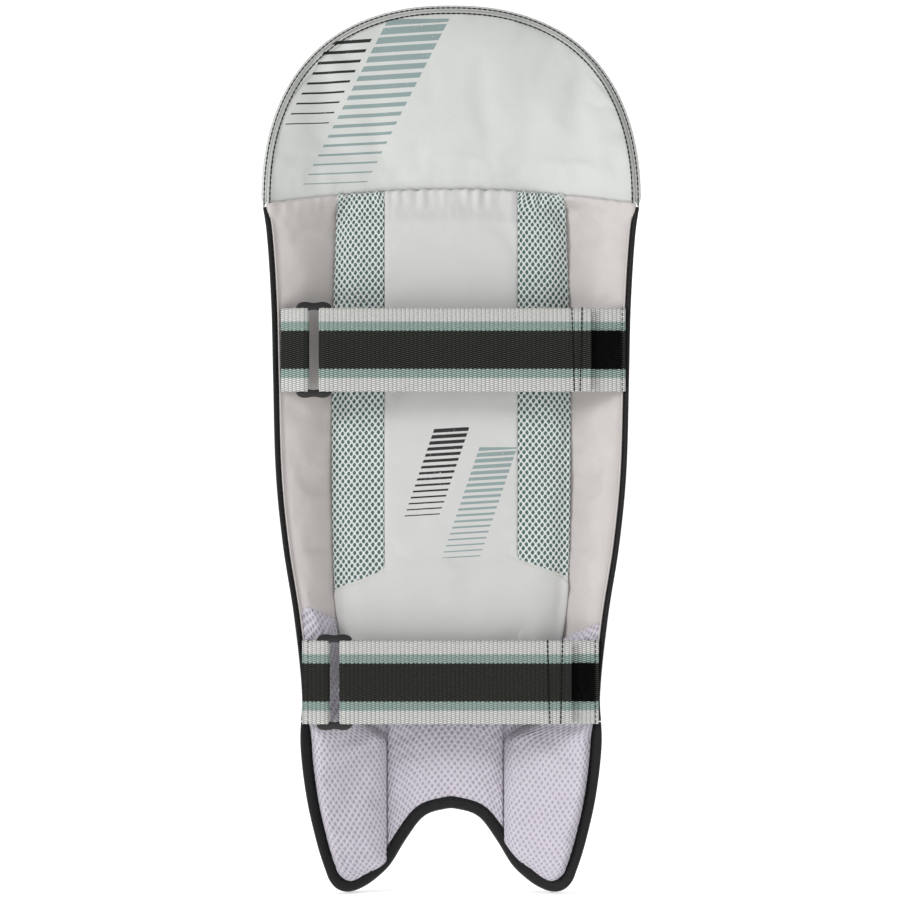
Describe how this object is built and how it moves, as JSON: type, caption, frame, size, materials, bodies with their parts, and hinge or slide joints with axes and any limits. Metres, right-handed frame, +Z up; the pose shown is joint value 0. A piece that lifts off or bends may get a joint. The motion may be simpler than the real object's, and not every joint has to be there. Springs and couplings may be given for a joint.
{
  "type": "cricket leg pad",
  "caption": "Wicket keeper's leg pad with a rounded knee flap, cane-ribbed shin, folded-back wings, leg bolster, lobed instep and webbing straps through plastic rings.",
  "frame": {"origin": "middle of the leg face of the bolster that lies against the shin", "axes": "+Z up towards the knee, +Y the way the wearer faces, +X the wearer's right"},
  "size_m": [0.2456, 0.088, 0.5804],
  "materials": {
    "white_leather": "satin coated leather, white",
    "piping": "satin coated leather, white",
    "foam": "matte closed-cell foam",
    "cane": "bare cane",
    "lining_cloth": "soft satin-weave lining, off white",
    "mesh_cloth": "open white mesh over grey-green cloth",
    "air_mesh": "matte spacer mesh, pale lilac white",
    "black_tape": "matte woven binding, black",
    "webbing": "woven tape, off white with grey-green and black stripes",
    "loop_pile": "fuzzy loop pile, black",
    "hook_tape": "hook tape, black",
    "black_plastic": "moulded plastic, black"
  },
  "bodies": {
    "pad": {"shin_facing": "white_leather", "left_wing_cover": "white_leather", "right_wing_cover": "white_leather", "knee_roll_1": "white_leather", "knee_roll_2": "white_leather", "knee_roll_3": "white_leather", "bolster_centre_panel": "white_leather", "shin_foam": "foam", "left_wing_foam": "foam", "right_wing_foam": "foam", "bolster_foam": "foam", "cane_1": "cane", "cane_2": "cane", "cane_3": "cane", "cane_4": "cane", "cane_5": "cane", "cane_6": "cane", "cane_7": "cane", "left_wing_lining": "lining_cloth", "right_wing_lining": "lining_cloth", "bolster_mesh_left": "mesh_cloth", "bolster_mesh_right": "mesh_cloth", "left_ankle_roll": "air_mesh", "right_ankle_roll": "air_mesh", "left_edge_binding": "black_tape", "right_edge_binding": "black_tape", "upper_strap_tab": "webbing", "upper_strap_run": "webbing", "upper_strap_fold": "webbing", "lower_strap_tab": "webbing", "lower_strap_run": "webbing", "lower_strap_fold": "webbing", "upper_loop_strip": "loop_pile", "lower_loop_strip": "loop_pile"},
    "knee_flap": {"knee_flap_cover": "white_leather", "knee_flap_foam": "foam", "knee_flap_facing": "white_leather", "knee_flap_piping": "piping"},
    "instep": {"instep_foam": "foam", "instep_cover": "white_leather", "instep_binding": "black_tape", "left_instep_roll": "air_mesh", "right_instep_roll": "air_mesh", "instep_centre_pad": "air_mesh"},
    "upper_ring": {"upper_ring": "black_plastic"},
    "lower_ring": {"lower_ring": "black_plastic"},
    "upper_strap_end": {"upper_strap_end": "webbing", "upper_hook_patch": "hook_tape"},
    "lower_strap_end": {"lower_strap_end": "webbing", "lower_hook_patch": "hook_tape"}
  },
  "joints": [
    {"name": "knee_flap_flex", "type": "hinge", "parent": "pad", "child": "knee_flap", "pos_m": [0, 0.035, 0.1655], "axis": [-1, 0, 0], "range_deg": [0, 30], "stiffness_Nm_per_rad": 0.8},
    {"name": "instep_flex", "type": "hinge", "parent": "pad", "child": "instep", "pos_m": [0, 0.0354, -0.1786], "axis": [1, 0, 0], "range_deg": [0, 25], "stiffness_Nm_per_rad": 0.8},
    {"name": "upper_ring_pivot", "type": "hinge", "parent": "pad", "child": "upper_ring", "pos_m": [-0.09556, -0.02278, 0.0618], "axis": [0, 0, -1], "range_deg": [0, 35], "deforming": ["upper_strap_fold"]},
    {"name": "upper_strap_peel", "type": "hinge", "parent": "upper_ring", "child": "upper_strap_end", "pos_m": [-0.08156, -0.02278, 0.0618], "axis": [0, 0, -1], "range_deg": [0, 145], "deforming": ["upper_strap_fold"]},
    {"name": "lower_ring_pivot", "type": "hinge", "parent": "pad", "child": "lower_ring", "pos_m": [-0.08232, -0.01885, -0.1528], "axis": [0, 0, -1], "range_deg": [0, 35], "deforming": ["lower_strap_fold"]},
    {"name": "lower_strap_peel", "type": "hinge", "parent": "lower_ring", "child": "lower_strap_end", "pos_m": [-0.06832, -0.01885, -0.1528], "axis": [0, 0, -1], "range_deg": [0, 145], "deforming": ["lower_strap_fold"]}
  ]
}
